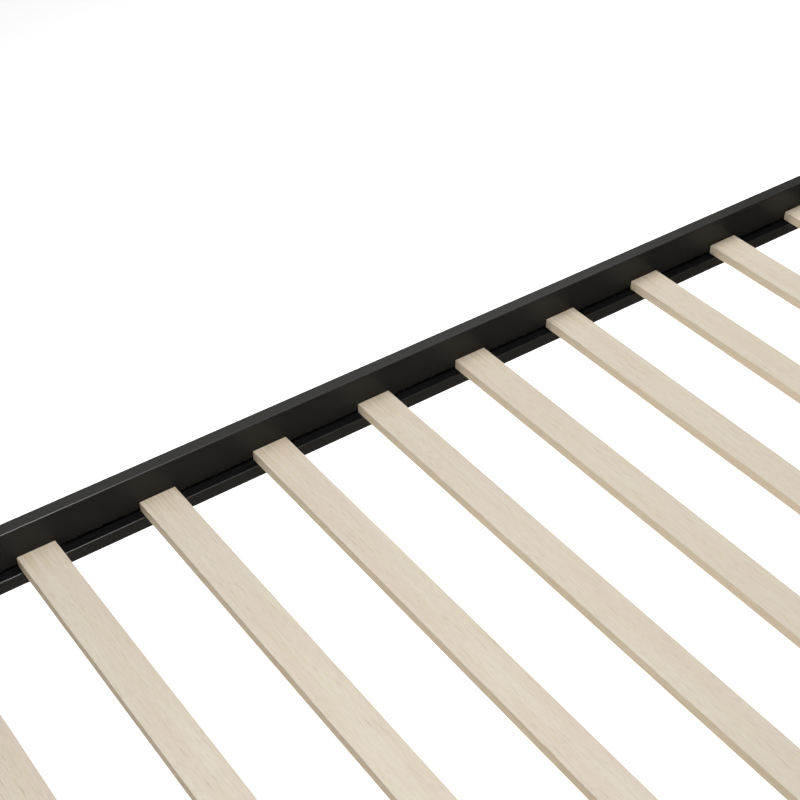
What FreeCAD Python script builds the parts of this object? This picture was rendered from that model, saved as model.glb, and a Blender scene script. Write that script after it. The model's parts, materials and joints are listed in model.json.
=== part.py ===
"""Single bed frame: black steel tube frame with a deck of flat wooden slats.

Two side rails of rectangular tube stand on edge, each with a smaller tube welded low on its
inner face as a ledge for the slat ends. Head rail and foot rail are welded between square
corner legs, and the side rails bolt to those legs through end plates. Each leg stands on a
levelling foot, a stud in a pad, which screws into a plastic bush.

Frame: millimetres, +Z up, +Y towards the head end, +X across the bed.
The origin is on the floor, under the centre of the frame.
"""
import FreeCAD
import Part
import math
import os

Vector = FreeCAD.Vector
OUT = "parts"

# Driving dimensions: the clear space inside the frame suits a 900 x 2000 mattress.
inner_width = 910.0
inner_length = 2012.0
frame_height = 355.0

# Rails and the ledges on their inner faces.
rail_height = 80.0
rail_width = 20.0
ledge_height = 20.0
ledge_width = 15.0
ledge_wall = 1.2
ledge_corner = 1.8
tube_wall = 1.5
tube_corner = 2.0
least_inner_corner = 0.4

# Corner legs, their caps and the plates that the side rails bolt with.
leg_size = 40.0
plate_thickness = 3.0
plate_corner = 3.0
cap_thickness = 3.0
cap_edge = 1.2
cap_plug_depth = 9.0
plug_wall = 2.0
plug_corner = 1.0
fit_gap = 0.1

# Slats.
slat_count = 12
slat_pitch = 173.0
slat_width = 53.0
slat_thickness = 15.0
slat_end_gap = 1.0
slat_arris = 0.8

# Grip strip on the ledges. Its lip stands against the rail.
strip_thickness = 0.8
strip_width = 13.0
strip_upstand = 3.4
strip_wall_gap = 0.1

# Levelling feet: a pad and a stud with a spanner hexagon, in a bush that plugs the leg.
bush_flange = 4.0
bush_edge = 1.0
bush_depth = 24.0
bush_core_wall = 4.0
bush_rib = 2.0
pad_radius = 18.0
pad_height = 8.0
pad_edge = 1.5
leveller_hex_height = 5.0
leveller_gap = 1.0
leveller_reach = 36.0
stud_socket = 4.0

# Screws, nuts and holes. The screw shank is the outside of its thread.
shank_tip = 0.15
socket_share = 0.6
nut_rim = 0.12
nut_cone = 0.1
m8_radius = 4.0
thread_clearance = 0.05
hole_clearance = 0.5
m8_head_radius = 7.0
m8_head_height = 4.4
m8_socket = 5.0
m8_nut_width = 13.0
m8_nut_height = 6.5
washer_radius = 8.0
washer_thickness = 1.6
rail_screw_length = 16.0
rail_screw_heights = (18.0, 38.0)
headboard_hole_heights = (180.0, 250.0)

# Places that follow from the driving dimensions.
inner_x = inner_width / 2
inner_y = inner_length / 2
outer_x = inner_x + rail_width
outer_y = inner_y + leg_size
rail_top = frame_height
rail_bottom = rail_top - rail_height
ledge_top = rail_bottom + ledge_height
slat_bottom = ledge_top + strip_thickness
slat_top = slat_bottom + slat_thickness
leg_centre_x = outer_x - leg_size / 2
leg_centre_y = inner_y + leg_size / 2
rail_end_y = inner_y - plate_thickness
bush_bottom = pad_height + leveller_hex_height + leveller_gap
leg_bottom = bush_bottom + bush_flange

SIDES = (("left", -1), ("right", 1))
ENDS = (("foot", -1), ("head", 1))


def export(name, *shapes):
    """Write one sub-part, made of one or more separate solids."""
    solids = [solid for shape in shapes for solid in shape.Solids]
    for solid in solids:
        if not solid.isValid() or solid.Volume <= 0:
            raise ValueError(f"{name} has a bad solid")
    shape = solids[0] if len(solids) == 1 else Part.makeCompound(solids)
    shape.exportStep(os.path.join(OUT, name + ".step"))
    print(f"{name:28s} {len(solids):2d} solid(s) {sum(s.Volume for s in solids) / 1000:9.1f} cm3")


def rounded_wire(width, height, radius):
    """Closed rectangle with round corners, in the XY plane, with a corner of its box at 0, 0."""
    w, h, r = width, height, radius
    k = r * (1 - math.sqrt(0.5))
    corners = [
        ((w - r, 0), (w - k, k), (w, r)),
        ((w, h - r), (w - k, h - k), (w - r, h)),
        ((r, h), (k, h - k), (0, h - r)),
        ((0, r), (k, k), (r, 0)),
    ]
    edges = []
    for i, (start, middle, end) in enumerate(corners):
        before = Vector(*corners[i - 1][2], 0)
        edges.append(Part.LineSegment(before, Vector(*start, 0)).toShape())
        edges.append(Part.Arc(Vector(*start, 0), Vector(*middle, 0), Vector(*end, 0)).toShape())
    return Part.Wire(edges)


def along(shape, axis, corner):
    """Turn a shape extruded along +Z so that it runs along axis, and put its low corner in place."""
    x, y, z = Vector(1, 0, 0), Vector(0, 1, 0), Vector(0, 0, 1)
    columns = {"x": (y, z, x), "y": (z, x, y), "z": (x, y, z)}[axis]
    moved = shape.copy()
    moved.Placement = FreeCAD.Placement(Vector(*corner), FreeCAD.Rotation(*columns))
    return moved


def section_sizes(axis, low, high):
    """The two sizes across a bar along axis, in the order that along() uses, and its length."""
    dx, dy, dz = (b - a for a, b in zip(low, high))
    if axis == "x":
        return dy, dz, dx
    if axis == "y":
        return dz, dx, dy
    return dx, dy, dz


def bar(axis, low, high, radius):
    """Solid bar between two corners, with its long edges rounded."""
    width, height, length = section_sizes(axis, low, high)
    face = Part.Face(rounded_wire(width, height, radius))
    return along(face.extrude(Vector(0, 0, length)), axis, low)


def tube(axis, low, high, wall=tube_wall, radius=tube_corner):
    """Rectangular tube between two corners, open at both ends."""
    width, height, length = section_sizes(axis, low, high)
    outer = Part.Face(rounded_wire(width, height, radius))
    inner_wire = rounded_wire(width - 2 * wall, height - 2 * wall, max(radius - wall, least_inner_corner))
    inner_wire.translate(Vector(wall, wall, 0))
    ring = outer.cut(Part.Face(inner_wire))
    return along(ring.extrude(Vector(0, 0, length)), axis, low)


def block(low, high):
    """Plain rectangular block between two corners."""
    size = [b - a for a, b in zip(low, high)]
    return Part.makeBox(*size, Vector(*low))


def drill(shape, radius, start, direction, length):
    """Cut a round hole, from start, along direction."""
    return shape.cut(Part.makeCylinder(radius, length, Vector(*start), Vector(*direction)))


def hexagon(width, height):
    """Hexagonal prism on the XY plane, given its width across flats."""
    radius = width / math.sqrt(3)
    turns = [i * math.pi / 3 for i in range(7)]
    points = [Vector(radius * math.cos(turn), radius * math.sin(turn), 0) for turn in turns]
    return Part.Face(Part.makePolygon(points)).extrude(Vector(0, 0, height))


def placed(shape, position, direction):
    """Copy of a shape modelled along +Z, turned to direction and moved to position."""
    moved = shape.copy()
    turned = FreeCAD.Placement(Vector(*position), FreeCAD.Rotation(Vector(0, 0, 1), Vector(*direction)))
    moved.Placement = turned.multiply(shape.Placement)
    return moved


def button_screw(radius, length, head_radius, head_height, socket):
    """Button-head socket screw: its head sits on the XY plane and its shank goes down."""
    dome_radius = (head_radius**2 + head_height**2) / (2 * head_height)
    dome = Part.makeSphere(dome_radius, Vector(0, 0, head_height - dome_radius))
    head = Part.makeCylinder(head_radius, head_height).common(dome)
    socket_depth = socket_share * head_height
    recess = hexagon(socket, socket_depth + 1)
    recess.translate(Vector(0, 0, head_height - socket_depth))
    shank = Part.makeCylinder(radius - thread_clearance, length, Vector(), Vector(0, 0, -1))
    tip = [e for e in shank.Edges if abs(e.BoundBox.ZMax + length) < 1e-6]
    shank = shank.makeChamfer(shank_tip * radius, tip)
    return head.cut(recess).fuse(shank).removeSplitter()


def hex_nut(radius, width, height):
    """Hexagon nut on the XY plane, with the corners of its outer face turned down."""
    corner_radius = width / math.sqrt(3)
    rim = nut_rim * width
    cone_height = nut_cone * width
    cone = Part.makeCone(corner_radius + rim, corner_radius - rim / 2, cone_height)
    cone.translate(Vector(0, 0, height - cone_height))
    turned = Part.makeCylinder(corner_radius + rim, height - cone_height).fuse(cone)
    return hexagon(width, height).common(turned).cut(Part.makeCylinder(radius, height))


def washer(hole_radius):
    """Plain washer on the XY plane."""
    disc = Part.makeCylinder(washer_radius, washer_thickness)
    return disc.cut(Part.makeCylinder(hole_radius, washer_thickness))


def tube_plug(size, wall, flange_thickness, depth, rounded_edge):
    """Plastic plug for a square tube: a flange on the XY plane, with a hollow shank above it."""
    half = size / 2
    flange = Part.Face(rounded_wire(size, size, tube_corner)).extrude(Vector(0, 0, flange_thickness))
    lowest = [e for e in flange.Edges if abs(e.BoundBox.ZMax) < 1e-6]
    flange = flange.makeFillet(rounded_edge, lowest)
    shank_size = size - 2 * wall - 2 * fit_gap
    inset = (size - shank_size) / 2
    outer = Part.Face(rounded_wire(shank_size, shank_size, plug_corner))
    outer.translate(Vector(inset, inset, 0))
    hollow_size = shank_size - 2 * plug_wall
    hollow = Part.Face(rounded_wire(hollow_size, hollow_size, plug_corner))
    hollow.translate(Vector(inset + plug_wall, inset + plug_wall, 0))
    shank = outer.cut(hollow).extrude(Vector(0, 0, depth))
    shank.translate(Vector(0, 0, flange_thickness))
    plug = flange.fuse(shank).removeSplitter()
    plug.translate(Vector(-half, -half, 0))
    return plug


def rail_screw_places(side, end):
    """Screw axes through one end plate, on the plate's inner face."""
    x = side * (inner_x - (leg_size - rail_width) / 2)
    return [(x, end * rail_end_y, ledge_top + height) for height in rail_screw_heights]


def side_rails():
    for side_name, side in SIDES:
        x_low, x_high = sorted((side * inner_x, side * outer_x))
        rail = tube("y", (x_low, -rail_end_y, rail_bottom), (x_high, rail_end_y, rail_top))
        export(f"side_rail_{side_name}", rail)

        x_low, x_high = sorted((side * inner_x, side * (inner_x - ledge_width)))
        low, high = (x_low, -rail_end_y, rail_bottom), (x_high, rail_end_y, ledge_top)
        ledge = tube("y", low, high, ledge_wall, ledge_corner)
        export(f"slat_ledge_{side_name}", ledge)

        x_low, x_high = sorted((side * outer_x, side * (outer_x - leg_size)))
        for end_name, end in ENDS:
            y_low, y_high = sorted((end * rail_end_y, end * inner_y))
            plate = bar("y", (x_low, y_low, rail_bottom), (x_high, y_high, rail_top), plate_corner)
            for place in rail_screw_places(side, end):
                plate = drill(plate, m8_radius + hole_clearance, place, (0, end, 0), plate_thickness)
            export(f"rail_end_plate_{side_name}_{end_name}", plate)


def end_frames():
    top_cap = tube_plug(leg_size, tube_wall, cap_thickness, cap_plug_depth, cap_edge)
    half = leg_size / 2
    for end_name, end in ENDS:
        y_low, y_high = sorted((end * inner_y, end * (inner_y + rail_width)))
        reach = outer_x - leg_size
        export(f"{end_name}_rail", tube("x", (-reach, y_low, rail_bottom), (reach, y_high, rail_top)))
        for side_name, side in SIDES:
            x, y = side * leg_centre_x, end * leg_centre_y
            leg = tube("z", (x - half, y - half, leg_bottom), (x + half, y + half, rail_top - cap_thickness))
            for sx, sy, sz in rail_screw_places(side, end):
                leg = drill(leg, m8_radius + hole_clearance, (sx, end * inner_y, sz), (0, end, 0), tube_wall)
            if end_name == "head":
                for height in headboard_hole_heights:
                    leg = drill(leg, m8_radius + hole_clearance, (x, inner_y, height), (0, 1, 0), leg_size)
            name = f"{end_name}_{side_name}"
            export(f"leg_{name}", leg)
            export(f"leg_top_cap_{name}", placed(top_cap, (x, y, rail_top), (0, 0, -1)))


def side_rail_fasteners():
    screw = button_screw(m8_radius, rail_screw_length, m8_head_radius, m8_head_height, m8_socket)
    nut = hex_nut(m8_radius, m8_nut_width, m8_nut_height)
    ring = washer(m8_radius + hole_clearance)
    screws, nuts, rings = [], [], []
    for _, side in SIDES:
        for _, end in ENDS:
            for x, y, z in rail_screw_places(side, end):
                screws.append(placed(screw, (x, y - end * washer_thickness, z), (0, -end, 0)))
                rings.append(placed(ring, (x, y, z), (0, -end, 0)))
                nuts.append(placed(nut, (x, end * (inner_y + tube_wall), z), (0, end, 0)))
    export("side_rail_screws", *screws)
    export("side_rail_washers", *rings)
    export("leg_weld_nuts", *nuts)


def leveller_stud():
    """Threaded stud with a hexagon for a spanner, standing in its pad."""
    shank_radius = m8_radius - thread_clearance
    length = stud_socket + leveller_hex_height + leveller_reach
    stud = Part.makeCylinder(shank_radius, length, Vector(0, 0, pad_height - stud_socket))
    top = [e for e in stud.Edges if abs(e.BoundBox.ZMin - stud.BoundBox.ZMax) < 1e-6]
    stud = stud.makeChamfer(shank_tip * m8_radius, top)
    nut = hexagon(m8_nut_width, leveller_hex_height)
    nut.translate(Vector(0, 0, pad_height))
    return stud.fuse(nut).removeSplitter()


def leveller_pad():
    """Round foot pad with a rounded rim and a blind socket for the stud."""
    pad = Part.makeCylinder(pad_radius, pad_height)
    rims = [e for e in pad.Edges if e.BoundBox.ZLength < 1e-6]
    pad = pad.makeFillet(pad_edge, rims)
    return drill(pad, m8_radius - thread_clearance, (0, 0, pad_height - stud_socket), (0, 0, 1), stud_socket)


def leg_bush():
    """Plastic plug for a leg's lower end: a hollow shank, and a bored core held by four ribs."""
    bush = tube_plug(leg_size, tube_wall, bush_flange, bush_depth, bush_edge)
    core = Part.makeCylinder(m8_radius + bush_core_wall, bush_depth, Vector(0, 0, bush_flange))
    rib = (leg_size - 2 * tube_wall - 2 * fit_gap - plug_wall) / 2
    top = bush_flange + bush_depth
    core = core.fuse(block((-rib, -bush_rib / 2, bush_flange), (rib, bush_rib / 2, top)))
    core = core.fuse(block((-bush_rib / 2, -rib, bush_flange), (bush_rib / 2, rib, top)))
    return drill(bush.fuse(core).removeSplitter(), m8_radius, (0, 0, 0), (0, 0, 1), top)


def levelling_feet():
    parts = (
        ("leg_bush", leg_bush(), bush_bottom),
        ("leveller_stud", leveller_stud(), 0),
        ("leveller_pad", leveller_pad(), 0),
    )
    for end_name, end in ENDS:
        for side_name, side in SIDES:
            for name, shape, height in parts:
                place = (side * leg_centre_x, end * leg_centre_y, height)
                export(f"{name}_{end_name}_{side_name}", placed(shape, place, (0, 0, 1)))


def grip_strips():
    for side_name, side in SIDES:
        near = side * (inner_x - strip_wall_gap)
        x_low, x_high = sorted((near, near - side * strip_width))
        flat = block((x_low, -rail_end_y, ledge_top), (x_high, rail_end_y, slat_bottom))
        x_low, x_high = sorted((near, near - side * strip_thickness))
        lip = block((x_low, -rail_end_y, ledge_top), (x_high, rail_end_y, ledge_top + strip_upstand))
        export(f"grip_strip_{side_name}", flat.fuse(lip).removeSplitter())


def slats():
    reach = inner_x - slat_end_gap
    first_y = -((slat_count - 1) * slat_pitch + slat_width) / 2
    for i in range(slat_count):
        y = first_y + i * slat_pitch
        slat = bar("x", (-reach, y, slat_bottom), (reach, y + slat_width, slat_top), slat_arris)
        export(f"slat_{i + 1:02d}", slat)


os.makedirs(OUT, exist_ok=True)
side_rails()
end_frames()
side_rail_fasteners()
levelling_feet()
grip_strips()
slats()
print(f"outside size {2 * outer_x:.0f} x {2 * outer_y:.0f} x {frame_height:.0f} mm")
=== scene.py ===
import bpy
import bmesh
import json
import math
from mathutils import Matrix, Vector


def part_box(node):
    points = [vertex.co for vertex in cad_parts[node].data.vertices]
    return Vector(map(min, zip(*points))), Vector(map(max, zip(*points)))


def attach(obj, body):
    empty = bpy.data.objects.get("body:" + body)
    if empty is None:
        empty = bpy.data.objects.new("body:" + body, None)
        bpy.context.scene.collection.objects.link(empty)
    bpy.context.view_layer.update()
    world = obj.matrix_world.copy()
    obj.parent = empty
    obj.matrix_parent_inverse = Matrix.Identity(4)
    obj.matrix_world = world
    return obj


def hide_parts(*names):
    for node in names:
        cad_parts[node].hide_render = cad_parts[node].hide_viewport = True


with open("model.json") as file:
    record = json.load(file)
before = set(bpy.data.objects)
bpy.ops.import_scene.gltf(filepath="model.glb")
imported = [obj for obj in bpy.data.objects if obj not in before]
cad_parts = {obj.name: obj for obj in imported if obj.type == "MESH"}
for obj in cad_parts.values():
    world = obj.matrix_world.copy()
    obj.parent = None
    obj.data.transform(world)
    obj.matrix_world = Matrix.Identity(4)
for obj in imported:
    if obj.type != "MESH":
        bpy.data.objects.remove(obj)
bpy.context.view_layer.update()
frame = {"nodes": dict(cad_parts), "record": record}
nodes = frame["nodes"]
mm = 0.001
touching = 0.01 * mm  # vertices closer than this share a place
sides = ("left", "right")
ends = ("foot", "head")
slatNodes = sorted(name for name in nodes if name.startswith("slat_") and name[-1].isdigit())
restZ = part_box(slatNodes[0])[0].z  # the slats' undersides, which rest on the felt
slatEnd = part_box(slatNodes[0])[1].x
bpy.ops.object.select_all(action="DESELECT")
print("frame loaded:", len(nodes), "CAD nodes")


def hexColor(code):
    # sRGB hex to the linear colour that the shader wants
    parts = [int(code[i:i + 2], 16) / 255 for i in (1, 3, 5)]
    return [c / 12.92 if c <= 0.04045 else ((c + 0.055) / 1.055) ** 2.4 for c in parts] + [1.0]


def perGrain(*size):
    # mapping scale that makes one unit of a pattern as long as one grain; one size serves all three axes
    return [1 / s for s in (size * 3 if len(size) == 1 else size)]


def addNode(mat, kind, settings=None, links=None):
    # one node: settings by name or input number, links as {input: output socket}
    node = mat.node_tree.nodes.new(kind)
    for key, value in (settings or {}).items():
        if isinstance(key, int) or key in node.inputs:
            node.inputs[key].default_value = value
        else:
            setattr(node, key, value)
    for key, source in (links or {}).items():
        mat.node_tree.links.new(source, node.inputs[key])
    return node


def newMaterial(name, shader):
    # a material with its Principled shader wired to the output
    mat = bpy.data.materials.new(name)
    mat.use_nodes = True
    mat.node_tree.nodes.clear()
    surface = addNode(mat, "ShaderNodeBsdfPrincipled", shader)
    addNode(mat, "ShaderNodeOutputMaterial", links={"Surface": surface.outputs[0]})
    at = addNode(mat, "ShaderNodeTexCoord").outputs["Object"]
    return mat, surface, at


def finishMaterial(mat, surface, sockets):
    # patterns into the shader
    for name, source in sockets.items():
        mat.node_tree.links.new(source, surface.inputs[name])
    return mat


coat = {
    "colour": "#262522", "patch": "#2a2926", "patchSize": 90 * mm,
    "roughness": 0.40, "roughnessSwing": 0.03, "specular": 0.14, "ior": 1.5,
    "peel": 2.2 * mm, "peelDepth": 0.020 * mm,
    "grit": 0.6 * mm, "gritDepth": 0.006 * mm,  # real grit is 0.05 mm, drawn coarser so that it shows
}


def makePowderCoat():
    # powder coated steel, sprayed and baked: satin black, faint orange peel, soft broad gloss
    mat, surface, at = newMaterial("powderCoatedSteel", {
        "Roughness": coat["roughness"], "Specular IOR Level": coat["specular"], "IOR": coat["ior"]})
    wide = addNode(mat, "ShaderNodeMapping", {"Scale": perGrain(coat["patchSize"])}, {"Vector": at})
    patches = addNode(mat, "ShaderNodeTexNoise", {"Scale": 1.0, "Detail": 3.0}, {"Vector": wide.outputs[0]})
    tone = addNode(mat, "ShaderNodeMix", {
        "data_type": "RGBA", 6: hexColor(coat["colour"]), 7: hexColor(coat["patch"])},
        {"Factor": patches.outputs["Fac"]})
    gloss = addNode(mat, "ShaderNodeMapRange", {
        "To Min": coat["roughness"] - coat["roughnessSwing"],
        "To Max": coat["roughness"] + coat["roughnessSwing"]}, {"Value": patches.outputs["Fac"]})
    peelSpace = addNode(mat, "ShaderNodeMapping", {"Scale": perGrain(coat["peel"])}, {"Vector": at})
    peel = addNode(mat, "ShaderNodeTexNoise", {"Scale": 1.0, "Detail": 1.0},
                   {"Vector": peelSpace.outputs[0]})
    gritSpace = addNode(mat, "ShaderNodeMapping", {"Scale": perGrain(coat["grit"])}, {"Vector": at})
    grit = addNode(mat, "ShaderNodeTexNoise", {"Scale": 1.0, "Detail": 2.0},
                   {"Vector": gritSpace.outputs[0]})
    soft = addNode(mat, "ShaderNodeBump", {"Distance": coat["peelDepth"]}, {"Height": peel.outputs["Fac"]})
    fine = addNode(mat, "ShaderNodeBump", {"Distance": coat["gritDepth"]},
                   {"Height": grit.outputs["Fac"], "Normal": soft.outputs[0]})
    return finishMaterial(mat, surface, {
        "Base Color": tone.outputs[2], "Roughness": gloss.outputs[0], "Normal": fine.outputs[0]})


wood = {
    "pale": "#e5dbcb", "rose": "#e2d3c4", "straw": "#dcd2b6", "streak": "#c1ac8e", "fleck": "#a98f6c",
    "patch": (230 * mm, 22 * mm, 22 * mm), "streakSize": (70 * mm, 2.4 * mm, 2.4 * mm),
    "fibre": (11 * mm, 0.9 * mm, 0.9 * mm),  # real fibres are 0.05 mm across, drawn coarser
    "fleckSize": (26 * mm, 1.8 * mm, 1.8 * mm),
    "streakShift": (3.1, 0.0, 0.0), "fleckShift": (0.0, 7.3, 2.9),  # so that no two patterns line up
    "straws": 0.75, "lines": 0.42, "flecks": 0.45,  # how strongly each one tints the wood
    "paintedEndShade": "#cebda0", "endReach": 55 * mm,  # painted shade: the slats' ends turn darker and browner towards the rail, in streaky patches
    "roughness": 0.62, "specular": 0.12, "ior": 1.5, "relief": 0.03 * mm,
}
# the sawn edges' colours hold painted shade and painted warm bounce light besides the sawn surface's own
# tone
sawnAndShaded = {
    "pale": "#e3d3bd", "dark": "#d8c6a9", "streak": "#c2ab89", "lines": 0.5, "roughness": 0.75,
    "streakSize": (90 * mm, 5 * mm, 2.2 * mm), "fibre": (22 * mm, 1.2 * mm, 0.8 * mm),
    "mark": (2.2 * mm, 40 * mm, 40 * mm), "markDepth": 0.04 * mm,
}
crossCut = {
    "pale": "#c8b08a", "dark": "#9d8058", "ringWidth": 4.5 * mm, "ringTilt": 28, "ringBands": 0.32,
    "pore": 0.7 * mm, "poreDepth": 0.06 * mm, "pores": 0.6, "roughness": 0.85, "specular": 0.1,
}


def makePlanedPoplar():
    # poplar, planed and left bare: pale and matt, close straight grain, now and then a darker fleck
    mat, surface, at = newMaterial("planedPoplar", {
        "Roughness": wood["roughness"], "Specular IOR Level": wood["specular"], "IOR": wood["ior"]})
    patchSpace = addNode(mat, "ShaderNodeMapping", {"Scale": perGrain(*wood["patch"])}, {"Vector": at})
    patches = addNode(mat, "ShaderNodeTexNoise", {"Scale": 1.0, "Detail": 2.0},
                      {"Vector": patchSpace.outputs[0]})
    warm = addNode(mat, "ShaderNodeMapRange", {"From Min": 0.35, "From Max": 0.65},
                   {"Value": patches.outputs["Fac"]})
    base = addNode(mat, "ShaderNodeMix", {
        "data_type": "RGBA", 6: hexColor(wood["pale"]), 7: hexColor(wood["rose"])},
        {"Factor": warm.outputs[0]})
    streakSpace = addNode(mat, "ShaderNodeMapping", {
        "Scale": perGrain(*wood["streakSize"]), "Location": wood["streakShift"]}, {"Vector": at})
    streaks = addNode(mat, "ShaderNodeTexNoise", {"Scale": 1.0, "Detail": 3.0, "Roughness": 0.55},
                      {"Vector": streakSpace.outputs[0]})
    straw = addNode(mat, "ShaderNodeMapRange", {
        "From Min": 0.42, "From Max": 0.72, "To Max": wood["straws"]}, {"Value": streaks.outputs["Fac"]})
    strawed = addNode(mat, "ShaderNodeMix", {"data_type": "RGBA", 7: hexColor(wood["straw"])},
                      {"Factor": straw.outputs[0], 6: base.outputs[2]})
    fibreSpace = addNode(mat, "ShaderNodeMapping", {"Scale": perGrain(*wood["fibre"])}, {"Vector": at})
    fibres = addNode(mat, "ShaderNodeTexNoise", {"Scale": 1.0, "Detail": 2.0},
                     {"Vector": fibreSpace.outputs[0]})
    lines = addNode(mat, "ShaderNodeMapRange", {"From Min": 0.5, "From Max": 0.8, "To Max": wood["lines"]},
                    {"Value": fibres.outputs["Fac"]})
    lined = addNode(mat, "ShaderNodeMix", {"data_type": "RGBA", 7: hexColor(wood["streak"])},
                    {"Factor": lines.outputs[0], 6: strawed.outputs[2]})
    fleckSpace = addNode(mat, "ShaderNodeMapping", {
        "Scale": perGrain(*wood["fleckSize"]), "Location": wood["fleckShift"]}, {"Vector": at})
    flecks = addNode(mat, "ShaderNodeTexNoise", {"Scale": 1.0, "Detail": 1.0},
                     {"Vector": fleckSpace.outputs[0]})
    rare = addNode(mat, "ShaderNodeMapRange", {
        "From Min": 0.64, "From Max": 0.84, "To Max": wood["flecks"]}, {"Value": flecks.outputs["Fac"]})
    flecked = addNode(mat, "ShaderNodeMix", {"data_type": "RGBA", 7: hexColor(wood["fleck"])},
                      {"Factor": rare.outputs[0], 6: lined.outputs[2]})
    # painted shade: the wood darkens within endReach of its ends, next to the rail, patchy along the
    # streaks
    place = addNode(mat, "ShaderNodeSeparateXYZ", links={"Vector": at})
    outward = addNode(mat, "ShaderNodeMath", {"operation": "ABSOLUTE"}, {0: place.outputs["X"]})
    nearEnd = addNode(mat, "ShaderNodeMapRange", {
        "From Min": slatEnd - wood["endReach"], "From Max": slatEnd}, {"Value": outward.outputs[0]})
    shadeBreakup = addNode(mat, "ShaderNodeMapRange", {
        "From Min": 0.35, "From Max": 0.62, "To Min": 0.15, "To Max": 1.0},
        {"Value": streaks.outputs["Fac"]})
    endShadeMask = addNode(mat, "ShaderNodeMath", {"operation": "MULTIPLY"}, {
        0: nearEnd.outputs[0], 1: shadeBreakup.outputs[0]})
    ended = addNode(mat, "ShaderNodeMix", {"data_type": "RGBA", 7: hexColor(wood["paintedEndShade"])},
                    {"Factor": endShadeMask.outputs[0], 6: flecked.outputs[2]})
    relief = addNode(mat, "ShaderNodeBump", {"Distance": wood["relief"]}, {"Height": fibres.outputs["Fac"]})
    return finishMaterial(mat, surface, {"Base Color": ended.outputs[2], "Normal": relief.outputs[0]})


def makeSawnShadedPoplar():
    # the slats' long edges, ripped on a saw: tanner and warmer than the planed face, partly the sawn
    # surface and partly painted shade and warm bounce light, faint upright saw marks
    mat, surface, at = newMaterial("sawnPoplarEdgeShaded", {
        "Roughness": sawnAndShaded["roughness"], "Specular IOR Level": wood["specular"], "IOR": wood["ior"]})
    streakSpace = addNode(mat, "ShaderNodeMapping", {"Scale": perGrain(*sawnAndShaded["streakSize"])},
                          {"Vector": at})
    streaks = addNode(mat, "ShaderNodeTexNoise", {"Scale": 1.0, "Detail": 3.0},
                      {"Vector": streakSpace.outputs[0]})
    mixed = addNode(mat, "ShaderNodeMapRange", {"From Min": 0.3, "From Max": 0.7},
                    {"Value": streaks.outputs["Fac"]})
    base = addNode(mat, "ShaderNodeMix", {
        "data_type": "RGBA", 6: hexColor(sawnAndShaded["pale"]), 7: hexColor(sawnAndShaded["dark"])},
        {"Factor": mixed.outputs[0]})
    fibreSpace = addNode(mat, "ShaderNodeMapping", {"Scale": perGrain(*sawnAndShaded["fibre"])}, {"Vector": at})
    fibres = addNode(mat, "ShaderNodeTexNoise", {"Scale": 1.0, "Detail": 2.0},
                     {"Vector": fibreSpace.outputs[0]})
    lines = addNode(mat, "ShaderNodeMapRange", {"From Min": 0.5, "From Max": 0.85, "To Max": sawnAndShaded["lines"]},
                    {"Value": fibres.outputs["Fac"]})
    lined = addNode(mat, "ShaderNodeMix", {"data_type": "RGBA", 7: hexColor(sawnAndShaded["streak"])},
                    {"Factor": lines.outputs[0], 6: base.outputs[2]})
    markSpace = addNode(mat, "ShaderNodeMapping", {"Scale": perGrain(*sawnAndShaded["mark"])}, {"Vector": at})
    sawMarks = addNode(mat, "ShaderNodeTexNoise", {"Scale": 1.0, "Detail": 1.0},
                       {"Vector": markSpace.outputs[0]})
    cut = addNode(mat, "ShaderNodeBump", {"Distance": sawnAndShaded["markDepth"]},
                  {"Height": sawMarks.outputs["Fac"]})
    relief = addNode(mat, "ShaderNodeBump", {"Distance": wood["relief"]},
                     {"Height": fibres.outputs["Fac"], "Normal": cut.outputs[0]})
    return finishMaterial(mat, surface, {"Base Color": lined.outputs[2], "Normal": relief.outputs[0]})


def makeEndGrain():
    # the slats' cross-cut ends: darker, with growth rings and open pores
    mat, surface, at = newMaterial("crossCutPoplarEnd", {
        "Roughness": crossCut["roughness"], "Specular IOR Level": crossCut["specular"], "IOR": wood["ior"]})
    ringSpace = addNode(mat, "ShaderNodeMapping", {
        "Scale": perGrain(crossCut["ringWidth"]),
        "Rotation": (math.radians(crossCut["ringTilt"]), 0.0, 0.0)}, {"Vector": at})
    rings = addNode(mat, "ShaderNodeTexWave", {
        "bands_direction": "Z", "Scale": crossCut["ringBands"], "Distortion": 2.0, "Detail": 2.0,
        "Detail Scale": 0.6}, {"Vector": ringSpace.outputs[0]})
    base = addNode(mat, "ShaderNodeMix", {
        "data_type": "RGBA", 6: hexColor(crossCut["pale"]), 7: hexColor(crossCut["dark"])},
        {"Factor": rings.outputs["Fac"]})
    poreSpace = addNode(mat, "ShaderNodeMapping", {"Scale": perGrain(crossCut["pore"])}, {"Vector": at})
    pores = addNode(mat, "ShaderNodeTexVoronoi", {"Scale": 1.0}, {"Vector": poreSpace.outputs[0]})
    deep = addNode(mat, "ShaderNodeMapRange", {
        "From Min": 0.1, "From Max": 0.3, "To Min": crossCut["pores"], "To Max": 0.0},
        {"Value": pores.outputs["Distance"]})
    pored = addNode(mat, "ShaderNodeMix", {"data_type": "RGBA", 7: hexColor(wood["fleck"])},
                    {"Factor": deep.outputs[0], 6: base.outputs[2]})
    pits = addNode(mat, "ShaderNodeBump", {"Distance": crossCut["poreDepth"]},
                   {"Height": pores.outputs["Distance"]})
    return finishMaterial(mat, surface, {"Base Color": pored.outputs[2], "Normal": pits.outputs[0]})


needled = {
    # the near-black colour is painted shade, for the shadow where the felt stands up against the rail
    "deep": "#0b0b0c", "fluffy": "#1a1a1b", "lip": "#010101", "tuft": (1.6 * mm, 2.6 * mm, 1.6 * mm),
    "nap": 0.5 * mm, "fold": 0.3 * mm,  # the tone changes to the painted shade within this height of the fold
    "roughness": 1.0, "specular": 0.02,
}


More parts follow.
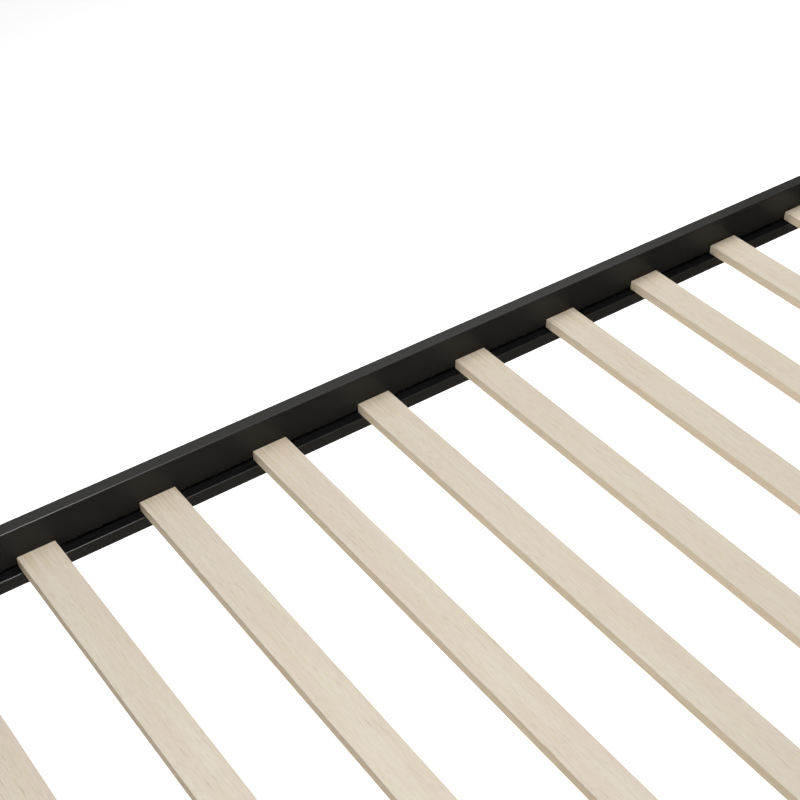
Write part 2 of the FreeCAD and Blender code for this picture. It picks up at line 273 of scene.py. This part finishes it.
def makeFelt():
    # needled polyester felt, punched into a mat: no gloss, tangled short fibres, dark grey where it lies
    # flat, and painted near-black where it stands up against the rail, as painted shade for the corner's
    # shadow
    mat, surface, at = newMaterial("needledFelt", {
        "Roughness": needled["roughness"], "Specular IOR Level": needled["specular"]})
    tuftSpace = addNode(mat, "ShaderNodeMapping", {"Scale": perGrain(*needled["tuft"])}, {"Vector": at})
    tufts = addNode(mat, "ShaderNodeTexNoise", {"Scale": 1.0, "Detail": 4.0, "Roughness": 0.7},
                    {"Vector": tuftSpace.outputs[0]})
    fluff = addNode(mat, "ShaderNodeMapRange", {"From Min": 0.35, "From Max": 0.75},
                    {"Value": tufts.outputs["Fac"]})
    flat = addNode(mat, "ShaderNodeMix", {
        "data_type": "RGBA", 6: hexColor(needled["deep"]), 7: hexColor(needled["fluffy"])},
        {"Factor": fluff.outputs[0]})
    height = addNode(mat, "ShaderNodeSeparateXYZ", links={"Vector": at})
    # painted shade: above the fold the felt turns near-black, in place of the rail's shadow in the corner
    lip = addNode(mat, "ShaderNodeMapRange", {
        "From Min": restZ - needled["fold"], "From Max": restZ + needled["fold"]},
        {"Value": height.outputs["Z"]})
    tone = addNode(mat, "ShaderNodeMix", {"data_type": "RGBA", 7: hexColor(needled["lip"])},
                   {"Factor": lip.outputs[0], 6: flat.outputs[2]})
    nap = addNode(mat, "ShaderNodeBump", {"Distance": needled["nap"]}, {"Height": tufts.outputs["Fac"]})
    return finishMaterial(mat, surface, {"Base Color": tone.outputs[2], "Normal": nap.outputs[0]})


plastic = {
    "dark": "#161617", "pale": "#1e1e1f", "roughness": 0.52, "specular": 0.4, "ior": 1.49,
    "grain": 0.7 * mm, "grainDepth": 0.03 * mm, "flow": 14 * mm,
}


def makeMouldedPlastic():
    # polypropylene, moulded in a spark-eroded tool: dull black with a fine even texture
    mat, surface, at = newMaterial("mouldedPolypropylene", {
        "Roughness": plastic["roughness"], "Specular IOR Level": plastic["specular"],
        "IOR": plastic["ior"]})
    grainSpace = addNode(mat, "ShaderNodeMapping", {"Scale": perGrain(plastic["grain"])}, {"Vector": at})
    texture = addNode(mat, "ShaderNodeTexVoronoi", {"Scale": 1.0, "feature": "SMOOTH_F1"},
                      {"Vector": grainSpace.outputs[0]})
    flowSpace = addNode(mat, "ShaderNodeMapping", {"Scale": perGrain(plastic["flow"])}, {"Vector": at})
    flowMarks = addNode(mat, "ShaderNodeTexNoise", {"Scale": 1.0, "Detail": 2.0},
                        {"Vector": flowSpace.outputs[0]})
    tone = addNode(mat, "ShaderNodeMix", {
        "data_type": "RGBA", 6: hexColor(plastic["dark"]), 7: hexColor(plastic["pale"])},
        {"Factor": flowMarks.outputs["Fac"]})
    pits = addNode(mat, "ShaderNodeBump", {"Distance": plastic["grainDepth"]},
                   {"Height": texture.outputs["Distance"]})
    return finishMaterial(mat, surface, {"Base Color": tone.outputs[2], "Normal": pits.outputs[0]})


zinc = {
    "blue": "#bfc3c9", "straw": "#c9c3ae", "patch": 5 * mm, "roughness": 0.32, "roughnessSwing": 0.10,
    "turned": 0.5 * mm, "turnedDepth": 0.008 * mm,
}


def makeZincPlate():
    # bright zinc plate on a turned and headed screw: silvery, faintly blue and straw in patches
    mat, surface, at = newMaterial("zincPlatedSteel", {"Metallic": 1.0, "Roughness": zinc["roughness"]})
    patchSpace = addNode(mat, "ShaderNodeMapping", {"Scale": perGrain(zinc["patch"])}, {"Vector": at})
    patches = addNode(mat, "ShaderNodeTexNoise", {"Scale": 1.0, "Detail": 3.0},
                      {"Vector": patchSpace.outputs[0]})
    tone = addNode(mat, "ShaderNodeMix", {
        "data_type": "RGBA", 6: hexColor(zinc["blue"]), 7: hexColor(zinc["straw"])},
        {"Factor": patches.outputs["Fac"]})
    gloss = addNode(mat, "ShaderNodeMapRange", {
        "To Min": zinc["roughness"] - zinc["roughnessSwing"],
        "To Max": zinc["roughness"] + zinc["roughnessSwing"]}, {"Value": patches.outputs["Fac"]})
    turnedSpace = addNode(mat, "ShaderNodeMapping", {"Scale": perGrain(zinc["turned"])}, {"Vector": at})
    turned = addNode(mat, "ShaderNodeTexNoise", {"Scale": 1.0, "Detail": 2.0},
                     {"Vector": turnedSpace.outputs[0]})
    marks = addNode(mat, "ShaderNodeBump", {"Distance": zinc["turnedDepth"]},
                    {"Height": turned.outputs["Fac"]})
    return finishMaterial(mat, surface, {
        "Base Color": tone.outputs[2], "Roughness": gloss.outputs[0], "Normal": marks.outputs[0]})


finishes = {
    "black_steel": makePowderCoat(),
    "slat_wood": makePlanedPoplar(),
    "black_plastic": makeMouldedPlastic(),
    "grip_felt": makeFelt(),
    "zinc_steel": makeZincPlate(),
}
sawnShadedWood = makeSawnShadedPoplar()
endGrain = makeEndGrain()
for part in frame["record"]["subparts"]:
    node = nodes[part["node"]]
    node.data.materials.clear()
    node.data.materials.append(finishes[part["material_slot"]])
print("materials made:", len(bpy.data.materials))


def pick(piece, domain, wanted):
    # in edit mode: select only the vertices, edges or faces that wanted says
    bpy.ops.mesh.select_mode(type=domain)
    bpy.ops.mesh.select_all(action="DESELECT")
    mesh = bmesh.from_edit_mesh(piece.data)
    for item in {"VERT": mesh.verts, "EDGE": mesh.edges, "FACE": mesh.faces}[domain]:
        item.select_set(wanted(item))
    mesh.select_flush_mode()
    bmesh.update_edit_mesh(piece.data)


def startEdit(piece, name):
    # the new primitive keeps its place in its mesh, and opens for editing
    piece.name = name
    bpy.ops.object.transform_apply(location=True, rotation=True, scale=True)
    bpy.ops.object.mode_set(mode="EDIT")


def applyModifier(piece, kind, **settings):
    modifier = piece.modifiers.new(kind.lower(), kind)
    for key, value in settings.items():
        setattr(modifier, key, value)
    bpy.ops.object.modifier_apply(modifier=modifier.name)


def copyPiece(piece, name, change):
    # a copy with its own mesh, moved in its mesh
    twin = piece.copy()
    twin.data = piece.data.copy()
    twin.name = name
    twin.data.name = name
    twin.data.transform(change)
    if change.is_negative:
        twin.data.flip_normals()
    bpy.context.collection.objects.link(twin)
    return twin


slat = {
    "arris": 0.8 * mm, "segments": 3, "endArris": 0.5 * mm, "endSegments": 2, "smoothAngle": 40,
    "longEdge": 100 * mm,  # only the edges along a slat are longer
    "endAngle": 1.0,  # radians, and only the edges round the ends are sharper once the arrises are cut
    "endTilt": 0.6, "sawnTilt": 0.75,  # how squarely a face looks along X or Y to be an end or a sawn edge
    "normalWeight": 100,  # the big flat faces hold the shading
}


def makeSlat(node):
    low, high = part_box(node)
    bpy.ops.mesh.primitive_cube_add(size=1, location=(low + high) / 2, scale=high - low)
    piece = bpy.context.object
    startEdit(piece, node + "_planed")
    pick(piece, "EDGE", lambda e: abs(e.verts[0].co.x - e.verts[1].co.x) > slat["longEdge"])
    bpy.ops.mesh.bevel(offset=slat["arris"], segments=slat["segments"], affect="EDGES")
    pick(piece, "EDGE", lambda e: len(e.link_faces) == 2 and e.calc_face_angle() > slat["endAngle"])
    bpy.ops.mesh.bevel(offset=slat["endArris"], segments=slat["endSegments"], affect="EDGES")
    bpy.ops.object.mode_set(mode="OBJECT")
    for mat in (finishes["slat_wood"], sawnShadedWood, endGrain):
        piece.data.materials.append(mat)
    for face in piece.data.polygons:
        tilt = [abs(part) for part in face.normal]
        face.material_index = 2 if tilt[0] > slat["endTilt"] else 1 if tilt[1] > slat["sawnTilt"] else 0
    bpy.ops.object.shade_smooth_by_angle(angle=math.radians(slat["smoothAngle"]))
    applyModifier(piece, "WEIGHTED_NORMAL", keep_sharp=True, weight=slat["normalWeight"])
    return piece


firstSlat = makeSlat(slatNodes[0])
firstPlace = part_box(slatNodes[0])[0]
slatPieces = [firstSlat]
for name in slatNodes[1:]:
    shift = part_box(name)[0] - firstPlace
    slatPieces.append(copyPiece(firstSlat, name + "_planed", Matrix.Translation(shift)))
for name, piece in zip(slatNodes, slatPieces):
    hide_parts(name)
    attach(piece, "frame")
print("slats made:", len(slatPieces))

felt = {
    "along": 620, "across": 7, "thickness": 0.5 * mm, "wallGap": 0.6 * mm, "overhang": 0.7 * mm,
    "sink": 0.45 * mm,  # how far the slats press it down
    "lipRise": 1.5 * mm, "lipRows": 2, "lipFoot": 1 * mm,  # the lip is torn ragged above its foot
    "nap": 0.35 * mm, "lipRagged": 1.6 * mm, "evenness": 0.1, "seed": 11,
    "endMargin": 1 * mm,  # the strip's ends stay straight
    "smoothAngle": 70,
}


def makeFeltStrip(side):
    low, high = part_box(f"grip_strip_{side}")
    if side == "left":
        low.x, high.x = low.x + felt["wallGap"], high.x + felt["overhang"]
        wallX = low.x
    else:
        low.x, high.x = low.x - felt["overhang"], high.x - felt["wallGap"]
        wallX = high.x
    middle = Vector(((low.x + high.x) / 2, 0, restZ - felt["sink"]))
    bpy.ops.mesh.primitive_grid_add(x_subdivisions=felt["across"], y_subdivisions=felt["along"], size=1,
                                    location=middle)
    piece = bpy.context.object
    startEdit(piece, f"felt_{side}")
    bpy.ops.transform.resize(value=(high.x - low.x, high.y - low.y, 1), center_override=middle)
    pick(piece, "EDGE", lambda e: all(abs(v.co.x - wallX) < touching for v in e.verts))
    lipStep = (high.z - restZ + felt["lipRise"]) / felt["lipRows"]
    for row in range(felt["lipRows"]):
        bpy.ops.mesh.extrude_region_move(TRANSFORM_OT_translate={"value": (0, 0, lipStep)})
    looseY = high.y - felt["endMargin"]
    pick(piece, "VERT", lambda v: abs(v.co.y) < looseY)
    bpy.ops.transform.vertex_random(offset=felt["nap"], uniform=felt["evenness"], normal=0.0,
                                    seed=felt["seed"])
    pick(piece, "VERT", lambda v: v.co.z > restZ + felt["lipFoot"] and abs(v.co.y) < looseY)
    bpy.ops.transform.vertex_random(offset=felt["lipRagged"], uniform=felt["evenness"], normal=0.0,
                                    seed=felt["seed"] + 1)
    bpy.ops.object.mode_set(mode="OBJECT")
    applyModifier(piece, "SOLIDIFY", thickness=felt["thickness"], offset=-1)
    bpy.ops.object.shade_smooth_by_angle(angle=math.radians(felt["smoothAngle"]))
    piece.data.materials.append(finishes["grip_felt"])
    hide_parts(f"grip_strip_{side}")
    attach(piece, "frame")


for side in sides:
    makeFeltStrip(side)
print("felt strips made:", len(sides))

weld = {
    "ripple": 2.2 * mm, "voxel": 0.45 * mm, "segments": 16, "rings": 8,
    "fillet": 3.0 * mm, "small": 1.8 * mm, "groove": 2.2 * mm,  # the beads' radii
    "stitch": 30 * mm, "stitchPitch": 250 * mm, "stitchCount": 8,
    "endGap": 3 * mm, "washerGap": 1 * mm, "grooveLift": 1 * mm,
}
mirrorX = Matrix.Scale(-1, 4, (1, 0, 0))
mirrorY = Matrix.Scale(-1, 4, (0, 1, 0))


def makeBead(name, start, end, radius):
    # overlapping drops of metal along a line, melted into one skin
    run = end - start
    drops = round(run.length / weld["ripple"]) + 1
    bpy.ops.mesh.primitive_uv_sphere_add(segments=weld["segments"], ring_count=weld["rings"],
                                         radius=radius, location=start)
    piece = bpy.context.object
    startEdit(piece, name)
    bpy.ops.object.mode_set(mode="OBJECT")
    applyModifier(piece, "ARRAY", use_relative_offset=False, use_constant_offset=True,
                  constant_offset_displace=run / (drops - 1), count=drops)
    applyModifier(piece, "REMESH", mode="VOXEL", voxel_size=weld["voxel"])
    bpy.ops.object.shade_smooth()
    return piece


def joinPieces(pieces, name):
    bpy.ops.object.select_all(action="DESELECT")
    for piece in pieces:
        piece.select_set(True)
    bpy.context.view_layer.objects.active = pieces[0]
    bpy.ops.object.join()
    pieces[0].name = name
    pieces[0].select_set(False)
    return pieces[0]


def coatWeld(piece):
    piece.data.materials.clear()
    piece.data.materials.append(finishes["black_steel"])
    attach(piece, "frame")


def makeWelds():
    # all beads are modelled at the right head corner, then mirrored to the others
    railLow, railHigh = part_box("head_rail")
    low, high = railLow.z + weld["endGap"], railHigh.z - weld["endGap"]
    seamX, seamY = railHigh.x, railHigh.y
    upright = makeBead("upright", Vector((seamX, seamY, low)), Vector((seamX, seamY, high)), weld["fillet"])
    under = makeBead("under", Vector((seamX, railLow.y + weld["endGap"], railLow.z)),
                     Vector((seamX, seamY - weld["endGap"], railLow.z)), weld["fillet"])
    endWeld = joinPieces([upright, under], "weld_end_head_right")

    sideLow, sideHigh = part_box("side_rail_right")
    ledgeLow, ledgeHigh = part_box("slat_ledge_right")
    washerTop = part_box("side_rail_washers")[1].z + weld["small"]
    topBead = makeBead("topBead", Vector((sideLow.x, sideHigh.y, washerTop + weld["washerGap"])),
                       Vector((sideLow.x, sideHigh.y, sideHigh.z - weld["endGap"])), weld["small"])
    ledgeBead = makeBead("ledgeBead", Vector((ledgeLow.x, sideHigh.y, ledgeLow.z + weld["endGap"])),
                         Vector((ledgeLow.x, sideHigh.y, ledgeHigh.z - weld["endGap"])), weld["small"])
    plateWeld = joinPieces([topBead, ledgeBead], "weld_plate_right_head")

    first = -(weld["stitchCount"] - 1) / 2 * weld["stitchPitch"] - weld["stitch"] / 2
    grooveZ = sideLow.z + weld["grooveLift"]
    ledgeWeld = makeBead("weld_ledge_right", Vector((sideLow.x, first, grooveZ)),
                         Vector((sideLow.x, first + weld["stitch"], grooveZ)), weld["groove"])
    bpy.context.view_layer.objects.active = ledgeWeld
    applyModifier(ledgeWeld, "ARRAY", use_relative_offset=False, use_constant_offset=True,
                  constant_offset_displace=(0, weld["stitchPitch"], 0), count=weld["stitchCount"])

    welds = [endWeld, plateWeld, ledgeWeld, copyPiece(ledgeWeld, "weld_ledge_left", mirrorX)]
    for source, pattern in ((endWeld, "weld_end_{end}_{side}"), (plateWeld, "weld_plate_{side}_{end}")):
        for end, side, change in (("head", "left", mirrorX), ("foot", "right", mirrorY),
                                  ("foot", "left", mirrorX @ mirrorY)):
            welds.append(copyPiece(source, pattern.format(end=end, side=side), change))
    for piece in welds:
        coatWeld(piece)
    return welds


print("weld beads made:", len(makeWelds()))

stud = {
    "major": 3.95 * mm, "pitch": 1.25 * mm, "depth": 0.62 * mm, "steps": 24, "start": 2 * mm,
    "tip": 0.6 * mm, "tipShrink": 0.84, "hexEdge": 0.5 * mm, "hexSegments": 2, "hexGap": 1 * mm,
    "cutReach": 0.001 * mm,  # a cut that reaches further leaves slits where the thread crosses it
    "spareTurns": 2,  # threads past the cuts at both ends
    "capCorners": 8,  # only the cut's flat cap has more corners
    "smoothAngle": 25,
}


def makeStud(node):
    # modelled round the world's Z axis, then moved under its leg
    low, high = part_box(node)
    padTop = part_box(node.replace("stud", "pad"))[1].z
    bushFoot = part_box(node.replace("leveller_stud", "leg_bush"))[0].z
    centre = (low + high) / 2
    across = high.y - low.y
    root = stud["major"] - stud["depth"]
    bottom, top = low.z + stud["start"], high.z - stud["tip"]
    turns = math.ceil((top - bottom) / stud["pitch"]) + stud["spareTurns"]
    bpy.ops.mesh.primitive_circle_add(vertices=4, radius=stud["pitch"] / 2, rotation=(math.pi / 2, 0, 0),
                                      location=(root, 0, bottom - stud["pitch"]))
    piece = bpy.context.object
    startEdit(piece, node.replace("leveller_stud", "threaded_stud"))
    pick(piece, "VERT", lambda v: v.co.x < root - touching)
    bpy.ops.mesh.delete(type="VERT")
    bpy.ops.object.mode_set(mode="OBJECT")
    applyModifier(piece, "SCREW", axis="Z", angle=2 * math.pi, steps=stud["steps"],
                  render_steps=stud["steps"], iterations=turns, screw_offset=stud["pitch"])
    bpy.ops.object.mode_set(mode="EDIT")
    bpy.ops.mesh.select_all(action="SELECT")
    bpy.ops.mesh.remove_doubles(threshold=touching)
    bpy.ops.mesh.bisect(plane_co=(0, 0, bottom), plane_no=(0, 0, 1), use_fill=True, clear_inner=True,
                        threshold=stud["cutReach"])
    bpy.ops.mesh.select_all(action="SELECT")
    bpy.ops.mesh.bisect(plane_co=(0, 0, top), plane_no=(0, 0, 1), use_fill=True, clear_outer=True,
                        threshold=stud["cutReach"])
    pick(piece, "FACE", lambda f: len(f.verts) > stud["capCorners"] and f.calc_center_median().z > centre.z)
    bpy.ops.mesh.extrude_region_move(TRANSFORM_OT_translate={"value": (0, 0, stud["tip"])})
    bpy.ops.transform.resize(value=(stud["tipShrink"], stud["tipShrink"], 1),
                             center_override=(0, 0, high.z))
    bpy.ops.mesh.select_all(action="SELECT")
    bpy.ops.mesh.normals_make_consistent(inside=False)
    bpy.ops.object.mode_set(mode="OBJECT")

    hexHeight = bushFoot - stud["hexGap"] - padTop
    bpy.ops.mesh.primitive_cylinder_add(vertices=6, radius=across / math.sqrt(3), depth=hexHeight,
                                        location=(0, 0, padTop + hexHeight / 2),
                                        rotation=(0, 0, math.pi / 6))
    nut = bpy.context.object
    startEdit(nut, "spannerHexagon")
    pick(nut, "EDGE", lambda e: abs(e.verts[0].co.z - e.verts[1].co.z) < touching)
    bpy.ops.mesh.bevel(offset=stud["hexEdge"], segments=stud["hexSegments"], affect="EDGES")
    bpy.ops.object.mode_set(mode="OBJECT")
    joinPieces([piece, nut], piece.name)
    bpy.ops.object.shade_smooth_by_angle(angle=math.radians(stud["smoothAngle"]))
    piece.data.transform(Matrix.Translation((centre.x, centre.y, 0)))
    piece.data.materials.append(finishes["zinc_steel"])
    return piece


firstStud = None
for end in ends:
    for side in sides:
        name = f"leveller_stud_{end}_{side}"
        if firstStud is None:
            piece = firstStud = makeStud(name)
            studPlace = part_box(name)[0]
        else:
            shift = Matrix.Translation(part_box(name)[0] - studPlace)
            piece = copyPiece(firstStud, name.replace("leveller", "threaded"), shift)
        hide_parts(name)
        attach(piece, f"levelling_foot_{end}_{side}")
print("levelling studs made:", len(ends) * len(sides))

shot = {"eye": (0.9256, -1.0384, 1.6609), "pitch": 38.965, "turn": 54.098, "lens": 68.486, "sensor": 36}
camera = bpy.data.cameras.new("shotCamera")
camera.lens = shot["lens"]
camera.sensor_width = shot["sensor"]
eye = bpy.data.objects.new("shotCamera", camera)
eye.location = shot["eye"]
eye.rotation_euler = (math.radians(90 - shot["pitch"]), 0, math.radians(shot["turn"]))
bpy.context.collection.objects.link(eye)
bpy.context.scene.camera = eye

softboxes = {
    "foot": {"at": (0.0, -0.68, 1.85), "aim": (0.0, -0.68, 0.3), "size": (0.7, 0.7), "power": 5.0},
    "middle": {"at": (0.35, -0.72, 1.9), "aim": (0.0, -0.6, 0.3), "size": (0.6, 0.6), "power": 11.5},
    "head": {"at": (-0.85, 1.5, 2.4), "aim": (-0.1, 0.5, 0.3), "size": (1.4, 1.4), "power": 48},
    "left": {"at": (-2.6, 0.6, 2.35), "aim": (-0.4, -0.5, 0.35), "size": (3.4, 1.1), "power": 27,
             "gloss": True},
    "kicker": {"at": (0.11, -0.42, 1.79), "aim": (-0.43, -0.65, 0.3), "size": (0.25, 0.25), "power": 105,
               "gloss": True},
}
for name, box in softboxes.items():
    lamp = bpy.data.lights.new(name, "AREA")
    lamp.shape = "RECTANGLE"
    lamp.size, lamp.size_y = box["size"]
    lamp.energy = box["power"]
    holder = bpy.data.objects.new(name, lamp)
    holder.location = box["at"]
    holder.rotation_euler = (Vector(box["aim"]) - Vector(box["at"])).to_track_quat("-Z", "Y").to_euler()
    holder.visible_diffuse = "gloss" not in box  # the gloss boxes only draw highlights
    bpy.context.collection.objects.link(holder)

studio = {
    "backdrop": (1.0, 1.0, 1.0, 1.0), "backdropGlow": 0.7, "floorSize": 60,
    "paper": (0.9, 0.9, 0.9, 1.0), "paperRoughness": 0.9,
    "glow": (1.0, 1.0, 1.0, 1.0), "glowStrength": 0.70,  # lit white, as in a light tent
}
world = bpy.data.worlds.new("studio")
bpy.context.scene.world = world
world.use_nodes = True
backdrop = world.node_tree.nodes["Background"]
backdrop.inputs["Color"].default_value = studio["backdrop"]
backdrop.inputs["Strength"].default_value = studio["backdropGlow"]
world.cycles_visibility.diffuse = False  # the white backdrop is only seen: the softboxes give the light
world.cycles_visibility.glossy = False

bpy.ops.object.select_all(action="DESELECT")
bpy.ops.mesh.primitive_plane_add(size=studio["floorSize"], location=(0, 0, 0))
floor = bpy.context.object
floor.name = "studioFloor"
paper = newMaterial("paperFloor", {
    "Base Color": studio["paper"], "Roughness": studio["paperRoughness"],
    "Emission Color": studio["glow"], "Emission Strength": studio["glowStrength"]})[0]
floor.data.materials.append(paper)
floor.visible_glossy = False  # kept out of the steel's reflections, as black cards would, so it stays black
bpy.context.scene.view_settings.view_transform = "Standard"
print("stage set")
